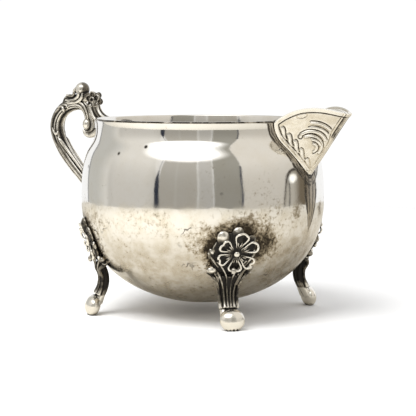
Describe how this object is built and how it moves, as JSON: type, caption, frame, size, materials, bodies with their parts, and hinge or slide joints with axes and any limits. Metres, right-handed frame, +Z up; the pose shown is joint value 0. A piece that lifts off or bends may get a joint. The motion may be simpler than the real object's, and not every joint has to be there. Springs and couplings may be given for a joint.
{
  "type": "cream jug",
  "caption": "Round footed cream jug with a V-shaped pouring lip and a scroll handle, for pouring cream or milk at table.",
  "frame": {"origin": "on the table, under the middle of the jug's box; the bowl's axis stands 5.6 mm forward of it", "axes": "+Z up, +X towards the pouring lip's tip, handle towards -X, +Y to the left of someone looking from the handle to the lip"},
  "size_m": [0.1391, 0.096, 0.0909],
  "materials": {
    "polished_plate": "polished silver plate, tarnished in patches low down and round the feet",
    "embossed_lip": "worn silver plate with dark lines left in the embossing",
    "antique_casting": "cast and plated, blackened in the hollows and bright on the high places",
    "blackened_flower": "cast and plated, strongly blackened hollows with bright petal rims"
  },
  "bodies": {
    "root": {"bowl": "polished_plate", "lip_cheek_left": "embossed_lip", "lip_cheek_right": "embossed_lip", "handle_loop": "antique_casting", "handle_arm": "antique_casting", "handle_crest": "antique_casting", "handle_volute": "antique_casting", "handle_flower_left": "blackened_flower", "handle_flower_right": "blackened_flower", "foot_front_left": "antique_casting", "foot_front_right": "antique_casting", "foot_rear_left": "antique_casting", "foot_rear_right": "antique_casting", "flower_front_left": "blackened_flower", "flower_front_right": "blackened_flower", "flower_rear_left": "blackened_flower", "flower_rear_right": "blackened_flower"}
  },
  "joints": []
}
